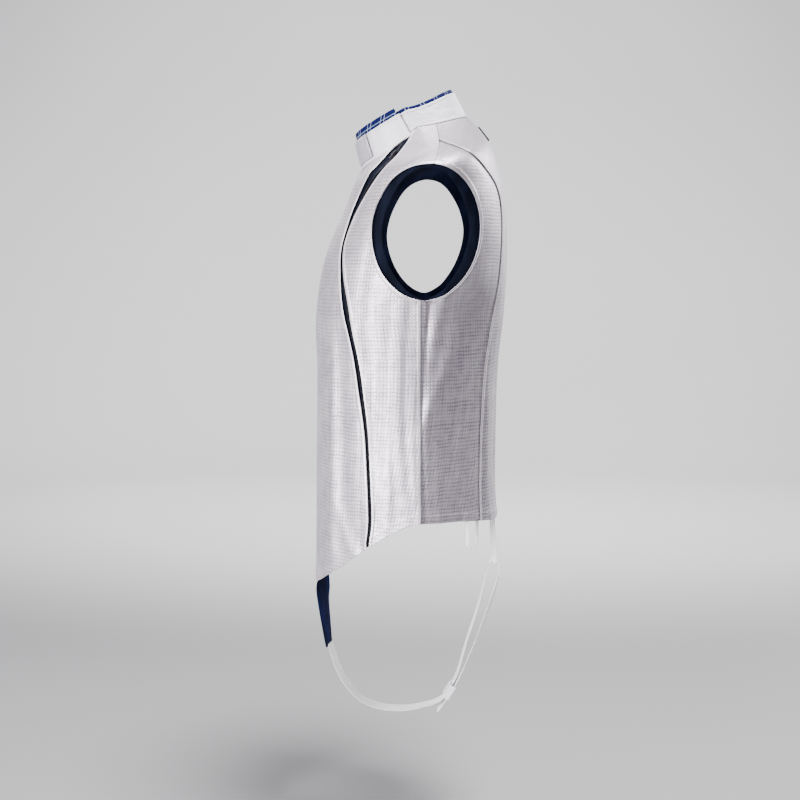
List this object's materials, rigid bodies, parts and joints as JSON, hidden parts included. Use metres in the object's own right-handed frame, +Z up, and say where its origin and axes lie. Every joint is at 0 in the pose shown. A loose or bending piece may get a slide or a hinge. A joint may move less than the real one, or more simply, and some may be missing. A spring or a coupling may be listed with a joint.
{
  "type": "fencing lame",
  "caption": "Sleeveless fencing vest of metal-threaded cloth with a stand collar, slanted side zip, wide armholes, clip tab and elastic crotch strap.",
  "frame": {"origin": "midway between the shoulders at the height of the neck base, where the vest hangs on the wearer", "axes": "+Z up, the wearer faces -Y, +X is the wearer's left, the side of the zip"},
  "size_m": [0.3768, 0.2772, 0.9084],
  "materials": {
    "lame_cloth": "silver metal-threaded weave with a fine darker grid",
    "lining_navy": "smooth navy lining cloth",
    "zip_tape": "woven navy zip tape",
    "zip_plastic": "black moulded plastic",
    "collar_blue": "royal blue cloth with a thin white check",
    "white_elastic": "white woven elastic",
    "white_plastic": "white moulded plastic"
  },
  "bodies": {
    "root": {"front_panel": "lame_cloth", "left_front_panel": "lame_cloth", "back_side_left": "lame_cloth", "back_side_right": "lame_cloth", "back_center": "lame_cloth", "lining_front": "lining_navy", "lining_left_front": "lining_navy", "lining_back_left": "lining_navy", "lining_back_right": "lining_navy", "lining_back": "lining_navy", "zip_tape": "zip_tape", "zip_coil": "zip_plastic", "zip_slider": "zip_plastic", "collar_band": "lame_cloth", "collar_lining": "collar_blue", "collar_tab": "lame_cloth", "clip_tab": "lining_navy", "crotch_tab": "lining_navy", "crotch_strap": "white_elastic", "strap_slider": "white_plastic", "hem_loop_center": "white_elastic", "hem_loop_left": "white_elastic"}
  },
  "joints": []
}
